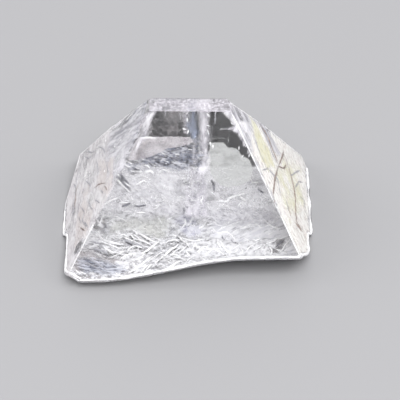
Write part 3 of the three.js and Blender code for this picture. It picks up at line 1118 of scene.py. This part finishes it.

# material, thickness in mm, what the line lies on, then where each runs, in mm
# the white lines are step edges with their shine painted white; the dark lines are cracks with the shade
# they mirror painted in
lines = {
    "boldSteps": (whiteWearAndHighlight, 0.1, onFoot, [
        [(-4.7, -0.2), (-4.3, -0.6), (-4.0, -1.7), (-3.5, -2.3), (-3.1, -2.7), (-2.7, -3.0), (-2.4, -3.1)],
        [(-2.4, -3.0), (-2.8, -3.5), (-3.1, -3.9), (-3.4, -4.2), (-3.8, -4.7)],
        [(-7.4, -1.5), (-7.0, -2.5), (-6.6, -2.8), (-6.2, -3.0), (-5.6, -3.2), (-5.0, -3.2)],
        [(-4.9, -7.1), (-4.5, -7.0), (-4.1, -6.7), (-3.8, -6.4), (-3.5, -6.0), (-3.2, -5.5), (-2.9, -4.9)],
        [(-2.2, -7.5), (-1.8, -7.4), (-1.4, -7.1), (-1.1, -6.9), (-0.8, -6.4), (-0.5, -6.2)],
        [(-1.9, -4.9), (-1.7, -4.4), (-1.5, -4.1), (-1.3, -3.8), (-1.0, -3.6), (-0.8, -3.3)],
        [(2.7, -2.8), (2.9, -3.5), (3.2, -4.1), (3.4, -4.4), (3.7, -4.4)],
        [(2.0, 0.0), (2.2, -0.6), (2.6, -0.9), (3.0, -0.7), (3.4, -0.8), (3.6, -1.2)],
    ]),
    "feathers": (whiteWearAndHighlight, 0.07, onFoot, [
        [(-6.5, -1.2), (-5.9, -1.1), (-5.3, -1.0), (-5.0, -1.3), (-4.5, -2.4), (-4.0, -2.7), (-3.1, -3.3),
         (-2.9, -3.7)],
        [(-7.6, -1.1), (-7.3, -1.3), (-6.9, -2.5), (-6.5, -2.8)],
        [(-6.9, -3.6), (-6.5, -3.9), (-6.2, -4.3), (-5.8, -4.4), (-5.3, -4.8), (-4.9, -4.9)],
        [(-5.0, -4.6), (-4.9, -4.0), (-4.6, -3.6), (-4.3, -3.5), (-3.9, -3.7), (-3.6, -4.0)],
        [(-5.6, -5.6), (-5.4, -5.3), (-5.1, -5.0), (-4.8, -4.8), (-4.3, -4.7), (-4.0, -4.6)],
        [(-4.2, -5.8), (-3.9, -5.5), (-3.6, -5.2)], [(-3.8, -7.3), (-3.5, -6.8), (-3.2, -6.5)],
        [(-3.4, -7.1), (-3.2, -6.8), (-2.9, -6.4)],
        [(-1.8, -3.1), (-1.6, -2.8), (-1.3, -2.7), (-1.0, -2.6), (-0.7, -2.9)],
        [(-1.5, -4.8), (-1.2, -4.6), (-0.8, -4.7), (-0.5, -5.1)],
        [(-2.4, -5.7), (-2.2, -5.3), (-2.0, -5.1)],
        [(-7.4, -0.5), (-7.2, -0.2), (-6.9, 0.8), (-6.4, 1.2), (-5.9, 1.3), (-5.5, 1.1), (-5.1, 0.8)],
        [(-9.3, -6.5), (-8.9, -6.8)], [(-8.8, -6.8), (-8.3, -7.1)],
        [(-1.0, -1.2), (-0.6, -2.4), (-0.3, -2.7)],
        [(-0.6, -2.3), (0.0, -2.6), (0.5, -2.8), (1.0, -2.7), (1.5, -2.5)],
        [(0.7, -2.9), (0.6, -3.4), (0.4, -3.8)],
        [(1.0, -3.8), (1.7, -4.0), (2.2, -3.9), (2.6, -4.2), (3.0, -4.6)],
        [(-1.5, -4.0), (-1.0, -3.6), (-0.7, -3.1)], [(-1.3, -4.8), (-0.6, -5.2), (-0.1, -6.3)],
        [(1.0, -4.8), (1.3, -6.4), (1.6, -7.2)], [(-0.1, -4.2), (0.2, -4.8)], [(4.4, -3.8), (4.6, -4.4)],
        [(6.2, -3.4), (6.7, -3.2), (7.2, -3.0), (7.8, -1.7), (8.4, -1.3)],
        [(7.6, -4.5), (7.9, -4.0), (8.2, -3.3), (8.4, -2.8)], [(6.8, -3.6), (7.0, -4.1), (7.0, -4.6)],
        [(2.5, -2.3), (2.5, -3.2), (2.7, -3.7), (2.9, -4.2)],
        [(3.5, -0.9), (3.8, -1.5), (4.0, -2.0), (4.3, -3.4)],
    ]),
    "arcSteps": (whiteWearAndHighlight, 0.06, onFoot, [
        [(-2.5, 1.4), (-2.3, 1.0), (-2.2, 0.6)], [(-4.0, 0.9), (-3.8, 0.5)],
    ]),
    "darkSlits": (crackWithPaintedReflection, 0.06, onFoot, [
        [(2.8, -1.0), (3.1, -2.7)], [(3.6, -1.6), (4.1, -3.3)], [(4.6, -1.6), (4.8, -1.5)],
        [(7.2, -3.8), (7.6, -3.4), (8.0, -2.8)],
    ]),
    "greyStreaks": (greyCrack, 0.11, onFoot, [
        [(-8.9, -5.5), (-8.2, -5.7), (-7.5, -6.3)],
        [(-8.6, -4.8), (-7.9, -5.3), (-7.2, -6.0), (-6.5, -6.8)],
        [(-7.6, -4.9), (-6.7, -5.7), (-5.9, -6.2)],
        [(-8.1, -2.8), (-7.6, -2.9), (-7.2, -3.3), (-6.8, -3.8)],
        [(-7.9, -3.6), (-7.4, -3.9), (-6.9, -4.1), (-6.5, -4.6)],
        [(-5.6, -2.7), (-5.1, -2.7), (-4.6, -3.1), (-4.1, -3.4), (-3.6, -3.8)],
        [(-7.5, -6.3), (-7.0, -6.8), (-6.5, -7.1)],
    ]),
    "milkSteps": (whiteWearAndHighlight, 0.12, onMilk, [
        [(2.3, 2.11), (2.6, 2.16), (3.2, 2.11), (3.4, 2.35), (3.9, 2.5), (4.5, 2.6), (5.1, 2.65)],
        [(4.3, 2.45), (4.5, 2.31), (4.8, 2.16)],
        [(-3.4, 3.95), (-3.2, 4.1), (-3, 4.14), (-2.7, 4.1), (-2.6, 3.85)],
    ]),
    "milkArcs": (whiteWearAndHighlight, 0.07, onMilk, [
        [(-4.8, 4.83), (-4.5, 4.68), (-4.3, 4.62)], [(-4.0, 4.4), (-3.7, 4.21), (-3.6, 4.05)],
        [(-4.5, 5.1), (-4.2, 4.9), (-3.8, 4.8)], [(-3.4, 4.55), (-3.1, 4.5), (-2.9, 4.32)],
        [(-5.0, 4.6), (-4.7, 4.45), (-4.4, 4.42)], [(-6.0, 3.82), (-5.5, 3.47), (-5.0, 3.06), (-4.6, 2.71)],
        [(3.2, 3.75), (3.8, 3.54), (4.4, 3.67), (5.1, 3.73)], [(5.3, 5.1), (5.6, 4.69), (6.0, 4.27)],
        [(6.5, 2.01), (6.9, 2.21), (7.3, 2.34)], [(4.1, 1.82), (4.4, 2.09), (4.7, 1.81)],
        [(-7.0, 1.77), (-6.3, 2.18), (-5.5, 2.44)], [(-4.1, 3.26), (-3.5, 3.53), (-3.1, 3.39)],
        [(-2.3, 4.06), (-1.8, 4.26), (-1.2, 4.06)], [(-4.2, 1.39), (-3.8, 1.43), (-3.4, 1.43)],
        [(1.2, 2.55), (1.3, 2.41), (1.1, 2.16), (1.3, 1.92)], [(-5.9, 3.76), (-5.6, 3.95), (-5.3, 3.7)],
        [(-5.1, 3.52), (-4.9, 3.33), (-4.5, 3.08)], [(-3.1, 3.56), (-2.8, 3.66)],
        [(-5.6, 2.11), (-5.2, 2.07), (-4.7, 2.11)], [(-5.2, 1.82), (-5, 1.77)],
        [(-4.6, 4.19), (-4.3, 4.14), (-3.9, 4.14), (-3.5, 4.1)], [(3.8, 2.45), (3.8, 2.26)],
        [(5.3, 2.31), (5.5, 2.07)], [(6.2, 2.5), (6.5, 2.35)], [(3.1, 3.8), (3.4, 3.66)],
        [(3.3, 4.0), (3.5, 3.85)], [(3.8, 3.61), (4.1, 3.56)], [(4.7, 3.66), (4.9, 3.7), (5.2, 3.76)],
        [(5.1, 3.95), (5.5, 3.66)], [(5.2, 3.37), (5.8, 3.37)], [(6, 3.52), (6.3, 3.52)],
        [(1.9, 2.78), (2.2, 2.55)],
    ]),
    "curls": (whiteWearAndHighlight, 0.07, onFoot, [
        [(2.2, 1.9), (2.6, 2.3), (3.1, 2.5), (3.5, 2.3), (3.7, 1.8)], [(4.1, 2.3), (4.3, 1.9), (4.2, 1.2)],
        [(2.4, -0.6), (2.9, -0.1), (3.7, 0.3), (4.7, 0.8)],
        [(6.0, 1.9), (6.3, 0.7), (6.9, -0.3), (7.8, -0.8)], [(4.8, 2.0), (5.3, 2.3), (5.8, 2.1)],
        [(4.4, -0.4), (5.1, 0.2), (5.8, 0.1), (6.2, -0.6)], [(1.5, 0.8), (1.9, 1.2), (2.1, 1.7)],
        [(0.2, 0.3), (0.5, 1.1), (0.7, 1.9)], [(-1.7, 0.6), (-1.1, 1.1), (-0.5, 1.3)],
        [(3.2, 1.5), (3.5, 0.9), (3.3, 0.3)], [(7.0, 2.1), (7.5, 0.9), (8.0, 0.2)],
        [(5.1, 1.3), (5.5, 0.9), (6.0, 0.6)], [(0.9, -0.3), (1.4, 0.2), (1.6, 0.9)],
        [(-0.5, -0.5), (-0.1, 0.4), (-0.1, 1.1)], [(7.1, -1.0), (6.7, -1.4)], [(3.7, -0.8), (4.2, -0.4)],
    ]),
    "slateStreaks": (crackWithPaintedReflection, 0.08, onSlate, [
        [(-3.7, 5.69), (-3.3, 5.78), (-3.0, 5.59)], [(-3.2, 5.31), (-2.7, 5.21), (-2.1, 4.92)],
        [(-2.6, 5.59), (-2.0, 5.39), (-1.4, 5.29)], [(-1.5, 5.76), (-0.9, 5.94), (-0.3, 6.03)],
        [(-1.3, 5.29), (-0.8, 5.1), (-0.2, 5.18)], [(-0.2, 6.31), (0.3, 6.21), (0.8, 6.39)],
        [(0.0, 5.65), (0.5, 5.74), (1.0, 5.55)], [(-2.2, 4.74), (-1.6, 4.63)], [(-4.5, 5.61), (-4.1, 5.41)],
        [(0.2, 5.18), (0.8, 4.99)],
    ]),
    # painted glints among the dark streaks
    "slateGlints": (whiteWearAndHighlight, 0.04, onSlate, [
        [(-3.1, 5.68), (-2.6, 5.87)], [(-2.0, 5.77), (-1.6, 5.57)], [(-0.9, 5.57), (-0.4, 5.47)],
        [(0.1, 6.02), (0.5, 5.93)], [(-1.8, 5.01), (-1.3, 4.82)], [(-3.7, 5.22), (-3.3, 5.03)],
        [(0.8, 5.36), (1.1, 5.08)], [(1.1, 5.83), (1.3, 5.54)],
    ]),
    "milkEdges": (softWear, 0.05, onMilk, [
        [(0.2, 4.73), (0.2, 4.11), (0.1, 3.43)],
    ]),
    "milkSlits": (crackWithPaintedReflection, 0.08, onMilk, [
        [(-5.8, 3.95), (-5.3, 3.61), (-4.9, 3.19), (-4.5, 2.85)],
        [(-5.5, 4.02), (-5.1, 3.68), (-4.7, 3.33)], [(-4.3, 4.29), (-3.9, 4.29), (-3.6, 4.23)],
        [(-5.8, 1.77), (-5.6, 1.73)], [(-5.4, 1.82), (-5, 1.92), (-4.6, 2.07)],
        [(-4.4, 1.82), (-3.8, 1.88), (-3.3, 1.92)], [(-0.2, 1.82), (-0.2, 1.3)], [(0.1, 1.88), (0.1, 1.68)],
        [(1.9, 3.56), (2.1, 3.23), (2.2, 2.78)], [(5.8, 2.93), (6.1, 2.74), (6.3, 2.65)],
    ]),
    "barbs": (whiteWearAndHighlight, 0.05, onFoot, [
        [(-7.5, -2.6), (-6.8, -3.0), (-6.0, -3.5), (-5.3, -4.0)],
        [(-6.5, -1.3), (-5.7, -1.4), (-4.8, -3.0), (-4.0, -3.5)],
        [(-5.8, -1.0), (-5.0, -2.5), (-4.3, -3.0), (-3.5, -3.6)],
        [(-5.0, -0.5), (-4.3, -2.1), (-3.6, -3.0), (-3.1, -3.4)],
        [(-7.9, -3.0), (-7.3, -3.3), (-6.6, -3.9), (-6.2, -4.6)],
        [(-6.2, -5.1), (-5.6, -4.6), (-5.1, -4.0)], [(-4.5, -6.0), (-3.9, -5.3), (-3.4, -4.5)],
        [(-3.2, -6.1), (-2.8, -5.2), (-2.3, -4.5), (-1.8, -4.0)],
        [(-2.7, -6.5), (-2.3, -5.5), (-1.9, -4.7)], [(-1.4, -4.8), (-1.0, -4.1), (-0.5, -3.6)],
        [(-0.8, -4.5), (-0.3, -3.8), (0.0, -3.4)], [(-0.1, -6.7), (0.4, -5.0)],
        [(-3.2, -1.1), (-2.6, -2.4), (-2.2, -2.8)], [(0.7, -4.3), (1.3, -3.7), (1.9, -3.5)],
        [(1.4, -4.7), (2.0, -4.0), (2.7, -3.8)], [(3.7, -4.0), (4.2, -3.5), (4.6, -1.9)],
        [(4.8, -4.3), (5.2, -3.6), (5.7, -3.1)], [(5.6, -4.1), (6.2, -3.5)],
        [(-0.6, -2.6), (-0.1, -3.0), (0.2, -3.7)], [(4.4, -1.2), (5.0, -1.8), (5.6, -2.8), (6.3, -2.5)],
        [(6.3, -0.4), (6.8, -0.2), (7.4, 0.4)], [(5.7, 0.7), (6.3, 0.7), (7.0, 1.1)],
        [(4.1, 0.2), (4.7, -0.2), (5.2, -0.1)], [(2.0, 0.8), (2.4, 0.2), (2.9, 0.1)],
        [(-7.7, -0.2), (-7.3, 0.4), (-6.9, 1.1)], [(-6.5, 0.4), (-6.1, 1.0), (-5.4, 1.1), (-4.9, 0.6)],
        [(-2.5, 1.2), (-2.2, 0.6), (-2.1, 0.3)],
    ]),
    "rearCurls": (whiteWearAndHighlight, 0.07, under(backFace, 0.1), [
        [(-5.3, 2.2), (-5.1, 1.6), (-5.0, 1.4)], [(-4.8, 2.2), (-4.6, 1.6), (-4.3, 1.2)],
    ]),
    "brownCracks": (brownCrack, 0.085, under(rightFace, 0.045), [
        [(2.8, 8.6), (2.5, 7.3), (1.7, 6.5), (0.9, 5.5), (-1.5, 6.3), (-4.2, 6.8), (-4.9, 6.4)],
        [(0.9, 5.5), (3.1, 4.7), (4.0, 4.5)],
        [(3.8, 4.7), (3.0, 4.0), (2.0, 3.4), (0.8, 3.0), (-0.4, 2.8), (-1.8, 2.9), (-2.6, 2.9), (-3.2, 2.8),
         (-3.2, 2.1), (-3.0, 1.6)],
        [(0.6, 5.7), (1.5, 4.6), (2.6, 4.1)], [(-3.6, 3.2), (-3.4, 1.8)], [(-2.7, 4.3), (-3.6, 3.8)],
    ]),
    "greyHairlines": (greyCrack, 0.075, under(rightFace, 0.045), [
        [(0.6, 10.0), (-0.3, 9.6), (-1.0, 9.1), (-1.7, 7.8)],
        [(2.8, 8.6), (2.1, 7.3), (1.1, 6.5), (0.8, 5.7)],
        [(-3.1, 8.5), (-1.7, 7.5), (-1.5, 6.7), (-1.8, 6.0)],
        [(-1.4, 6.8), (-1.3, 5.8), (-2.3, 5.6), (-2.7, 5.3)], [(-2.4, 4.6), (-2.8, 4.3), (-3.4, 4.2)],
        [(0.9, 2.0), (1.2, 1.2), (0.3, 1.1)], [(1.0, 2.8), (2.7, 2.0), (3.5, 1.2)],
        [(1.6, 3.6), (3.5, 2.4), (4.6, 1.6)],
    ]),
    "leftHairlines": (brownCrack, 0.06, under(leftFace, 0.045), [
        [(-1.2, 4.9), (-1.5, 5.6), (-2.0, 6.2), (-2.8, 7.0)], [(-2.8, 6.7), (-3.9, 7.2)],
        [(-3.8, 3.0), (-5.2, 3.9)], [(2.7, 2.4), (1.9, 2.0), (0.7, 1.9), (-0.4, 1.8)],
    ]),
    "leftNet": (greyCrack, 0.065, under(leftFace, 0.045), [
        [(5.3, 2.9), (4.5, 2.4), (3.7, 2.0), (2.3, 1.9), (1.0, 1.9), (-0.3, 1.7), (-1.4, 1.4)],
        [(5.0, 3.1), (3.9, 3.8), (3.5, 4.5)], [(5.1, 3.6), (4.1, 4.3), (3.7, 4.9)],
        [(-2.6, 6.1), (-3.6, 6.6)], [(-3.0, 5.3), (-4.2, 6.1)],
        [(-0.9, 2.8), (-2.6, 3.6), (-3.3, 3.3), (-5.0, 4.1)], [(-1.5, 4.1), (-2.9, 4.5), (-4.3, 5.2)],
        [(-3.9, 3.7), (-5.4, 4.4)], [(-2.0, 2.6), (-3.6, 3.2)], [(0.0, 6.9), (-1.5, 7.2), (-2.1, 7.0)],
        [(2.2, 5.2), (0.4, 5.6), (-0.5, 5.5)], [(3.7, 5.4), (2.3, 6.3), (0.9, 6.8)],
        [(1.0, 7.7), (-0.1, 8.3), (-0.3, 7.8)], [(1.3, 3.6), (-0.2, 4.4), (-0.8, 4.1)],
        [(3.4, 1.4), (2.3, 1.9)], [(2.3, 8.6), (1.9, 9.5), (1.3, 10.6)],
        [(2.0, 7.9), (1.5, 8.8), (0.8, 9.9)],
    ]),
    "brightSpots": (whiteWearAndHighlight, 0.09, under(leftFace, 0.06), [
        [(2.8, 6.6), (3.1, 6.6)], [(0.3, 8.2), (0.6, 8.0)], [(-1.1, 5.1), (-0.9, 5.0)],
        [(-1.0, 6.5), (-0.8, 6.7)], [(-6.0, 2.7), (-5.9, 2.8)],
    ]),
    "rearHairlines": (softWear, 0.04, under(backFace, 0.15), [
        [(-1.6, 11.2), (-1.6, 10.1)], [(-0.5, 11.2), (-0.4, 9.4)], [(2.3, 10.4), (2.2, 8.6)],
    ]),
    # painted glints: white dashes for the sparkle along the window's edges
    "glints": (whiteWearAndHighlight, 0.07, inSeam, [
        [(3.3, 11.1), (3.5, 11.3)], [(3.5, 10.8), (3.6, 11.1)], [(3.8, 10.6), (4.1, 10.7)],
        [(4.1, 10.4), (3.7, 10.5)], [(3.7, 10.2), (3.5, 10.4)], [(4.2, 8.5), (4.2, 8.8)],
        [(4.4, 7.9), (4.6, 8.2)], [(5.0, 8.0), (5.1, 8.3)], [(4.7, 8.7), (4.9, 8.9)],
        [(1.9, 10.7), (1.6, 11.0)], [(1.9, 10.1), (1.6, 10.2)], [(1.8, 9.5), (1.7, 9.9)],
        [(1.9, 8.8), (1.9, 9.1)], [(2.1, 8.6), (2.1, 8.9)], [(-2.9, 11.2), (-3.3, 11.3)],
        [(-3.1, 10.8), (-3.1, 11.1)], [(-3.3, 10.3), (-3.6, 10.4)], [(-2.9, 10.7), (-3.3, 10.8)],
        [(-2.1, 11.3), (-2.1, 11.6)], [(-1.2, 11.3), (-1.3, 11.5)], [(-0.3, 11.2), (0.0, 11.4)],
        [(2.4, 11.2), (2.2, 11.4)], [(2.9, 11.2), (3.3, 11.2)], [(0.0, 10.9), (0.2, 11.1)],
        [(0.1, 10.4), (0.1, 10.7)], [(0.0, 9.9), (-0.3, 10.0)], [(0.1, 9.6), (0.2, 9.9)],
    ]),
    "flatEdges": (whiteWearAndHighlight, 0.07, level(7.03, 0.0), [
        [(-3.7, 2.9), (-2.9, 3.0), (-2.2, 2.9)],
    ]),
}


def lineOn(toPlace, points, spacing=0.12):
    line = []
    for (ax, ay), (bx, by) in zip(points, points[1:]):
        count = max(int(math.hypot(bx - ax, by - ay) / spacing), 1)
        line += [toPlace(ax + (bx - ax) * k / count, ay + (by - ay) * k / count) for k in range(count)]
    return line + [toPlace(*points[-1])]


def addLines(values):
    for name, (material, thickness, toPlace, paths) in values.items():
        routes = [lineOn(toPlace, points) for points in paths]
        addThreads(name, routes, dict(lineWear, Thickness=thickness * mm), material)


addLines(lines)
print("threads laid")


# crumbs and flecks: small white slivers strewn over the foot and along the seam, which also stand in as
# painted sparkle

def randomBetween(tree, least, most, seed):
    made = node(tree, "FunctionNodeRandomValue", {"data_type": "FLOAT"}, Seed=seed)
    setSocket(tree, made.inputs[2], least)
    setSocket(tree, made.inputs[3], most)
    return made.outputs[1]


def strewTree():
    tree, given = newGeometryTree("strewnSlivers", {
        "Density": 1e6, "Smallest": 0.4, "Largest": 1.3,
    }, {"Int": ["Seed"], "Object": ["Shape"], "Material": ["Material"]})
    busy = node(tree, "GeometryNodeInputNamedAttribute", {"data_type": "FLOAT"}, Name="busy")
    strewn = node(
        tree, "GeometryNodeDistributePointsOnFaces", Mesh=given["Geometry"],
        Density=times(tree, given["Density"], busy.outputs["Attribute"]), Seed=given["Seed"],
    )
    spin = randomBetween(tree, 0.0, 2 * math.pi, given["Seed"])
    size = randomBetween(tree, given["Smallest"], given["Largest"], seed=11)
    turn = node(tree, "FunctionNodeAxisAngleToRotation", Axis=upright, Angle=spin)
    turned = node(
        tree, "FunctionNodeRotateRotation", {"rotation_space": "LOCAL"},
        Rotation=strewn.outputs["Rotation"], Rotate_By=turn.outputs[0],
    )
    shape = node(tree, "GeometryNodeObjectInfo", Object=given["Shape"])
    placed = node(
        tree, "GeometryNodeInstanceOnPoints", Points=strewn.outputs["Points"],
        Instance=shape.outputs["Geometry"], Rotation=turned.outputs[0], Scale=size,
    )
    endTree(tree, placed.outputs[0], given["Material"])
    return tree


def sliver(name, length, thickness, bend):
    # a spindle bent to an arc, lying flat
    bm = bmesh.new()
    rings = []
    for k in range(1, 5):
        part = k / 5
        middle = Vector(((part - 0.5) * length, bend * 4 * part * (1 - part), 0))
        size = thickness * math.sin(math.pi * part)
        rings.append([
            bm.verts.new((middle + size * Vector((0, math.cos(a), 0.6 * math.sin(a)))) * mm)
            for a in (0, 2 * math.pi / 3, 4 * math.pi / 3)
        ])
    ends = [bm.verts.new(Vector((side * length / 2, 0, 0)) * mm) for side in (-1, 1)]
    for first, second in zip(rings, rings[1:]):
        for k in range(3):
            bm.faces.new((first[k], first[(k + 1) % 3], second[(k + 1) % 3], second[k]))
    for k in range(3):
        bm.faces.new((ends[0], rings[0][(k + 1) % 3], rings[0][k]))
        bm.faces.new((ends[1], rings[-1][k], rings[-1][(k + 1) % 3]))
    bmesh.ops.recalc_face_normals(bm, faces=bm.faces)
    return addObject(name, bm)


# over is the height above the foot, density is in a square mm where the foot is busiest
crumbs = {"over": 0.12, "density": 1.5, "length": 0.75, "thickness": 0.034, "bend": 0.12}
flecks = {"over": 0.16, "density": 11.0, "length": 0.22, "thickness": 0.055, "bend": 0.02}
strewnSlivers = strewTree()


def crumbBusy(x, y):
    # busiest along the front right, none at the rear
    right = ramp(x, -3.5, 0.0) * (1 - ramp(y, -2.0, 0.5))
    return 0.22 * (1 - ramp(y, 3.0, 4.5)) + 0.78 * right


def seamBusy(x, y):
    # a column of bright points under the seam, and a few more over the rest of the right
    seam = ramp(-abs(x - 0.7), -0.9, -0.3) * ramp(y, -2.5, -1.0)
    return seam + 0.10 * ramp(x, 0, 2) * ramp(y, 1.0, 3.0)


def milkBusy(x, y):
    # everywhere on the veil, most on the right
    return 0.6 + 0.4 * ramp(x, 1.0, 3.0)


def milkSheet(bm, start=-0.4, end=1.9, step=0.1, bottom=1.2, rise=0.15, rowCount=22):
    # the milky veil from start to end in x, in mm
    xs = [start + step * k for k in range(int((end - start) / step) + 1)]
    zs = [bottom + rise * k for k in range(rowCount)]
    joinRows(bm, [[bm.verts.new(onMilk(x, z) * mm) for x in xs] for z in zs])


def addStrewn(name, values, sheet, busyAt, seed, material, inset=0.35):
    bm = bmesh.new()
    sheet(bm)
    busy = bm.verts.layers.float.new("busy")
    for vert in bm.verts:
        vert[busy] = busyAt(vert.co.x / mm, vert.co.y / mm)
    cutTo(bm, allPlanes, inset, fill=False)
    bmesh.ops.reverse_faces(bm, faces=bm.faces)
    shape = sliver(name + "Shape", values["length"], values["thickness"], values["bend"])
    applied(name, plainMesh(name, bm), strewnSlivers, {
        "Density": values["density"] * 1e6, "Seed": seed, "Shape": shape, "Material": material,
    })
    bpy.data.objects.remove(shape)


addStrewn("crumbs", crumbs, lambda bm: footSheet(bm, crumbs["over"]), crumbBusy, 4, whiteWearAndHighlight)
addStrewn("flecks", flecks, lambda bm: footSheet(bm, flecks["over"]), seamBusy, 9, whiteWearAndHighlight)
milkCrumbs = dict(crumbs, density=2.0, thickness=0.04)
addStrewn("milkCrumbs", milkCrumbs, lambda bm: milkSheet(bm, -6.8, 6.8), milkBusy, 17, whiteWearAndHighlight)
addStrewn("seamFlecks", dict(flecks, density=15.0), milkSheet, seamBusy, 13, whiteWearAndHighlight)
addStrewn("seamGaps", dict(flecks, density=5.0), milkSheet, seamBusy, 21, greyCrack)
print("crumbs and flecks strewn")


# the studio

studio = {
    "floorColour": (0.33, 0.33, 0.34, 1),
    "floorGap": 0.03,  # mm that the floor lies below the foot
    "worldLow": (0.70, 0.69, 0.71, 1),  # near the horizon
    "worldHigh": (0.80, 0.80, 0.82, 1),  # overhead
    # azimuth (0 in front, 180 behind), elevation, distance, width, height, power, colour
    "softboxes": {
        "leftSoftbox": (-92, 38, 0.8, 0.7, 0.5, 1.2, (1, 0.98, 0.95)),
        "frontSoftbox": (12, 60, 0.8, 0.5, 0.5, 5.7, (1, 1, 1)),
        "rightSoftbox": (68, 50, 0.8, 0.4, 0.4, 1.2, (1, 0.985, 0.95)),
    },
}


def addFloor(values):
    bm = bmesh.new()
    bmesh.ops.create_grid(bm, x_segments=1, y_segments=1, size=1.5)
    material = newMaterial("paleFloor")
    tree = material.node_tree
    paint = node(tree, "ShaderNodeBsdfPrincipled", Base_Color=values["floorColour"], Roughness=0.7)
    node(tree, "ShaderNodeOutputMaterial", Surface=paint.outputs[0])
    floor = addObject("floor", bm, material)
    floor.location.z = -values["floorGap"] * mm


def addSoftboxes(values):
    for name, (azimuth, elevation, distance, width, height, power, colour) in values["softboxes"].items():
        data = bpy.data.lights.new(name, "AREA")
        data.shape = "RECTANGLE"
        data.size, data.size_y = width, height
        data.energy = power
        data.color = colour
        holder = bpy.data.objects.new(name, data)
        bpy.context.scene.collection.objects.link(holder)
        a, e = radians(azimuth), radians(elevation)
        away = Vector((math.sin(a) * math.cos(e), -math.cos(a) * math.cos(e), math.sin(e)))
        holder.location = away * distance
        holder.rotation_euler = away.to_track_quat("Z", "Y").to_euler()


addFloor(studio)
addSoftboxes(studio)
world = bpy.data.worlds.new("studio")
bpy.context.scene.world = world
world.use_nodes = True
sky = world.node_tree
heading = node(sky, "ShaderNodeTexCoord").outputs["Generated"]
height = node(sky, "ShaderNodeSeparateXYZ", Vector=heading).outputs["Z"]
overhead = mapped(sky, height, 0.1, 0.9)
glow = blendColours(sky, overhead, studio["worldLow"], studio["worldHigh"])
sky.links.new(glow, sky.nodes["Background"].inputs["Color"])
cycles = bpy.context.scene.cycles
cycles.caustics_refractive = False
cycles.transparent_max_bounces = 24
bpy.context.scene.view_settings.view_transform = "Standard"
print("studio lit")
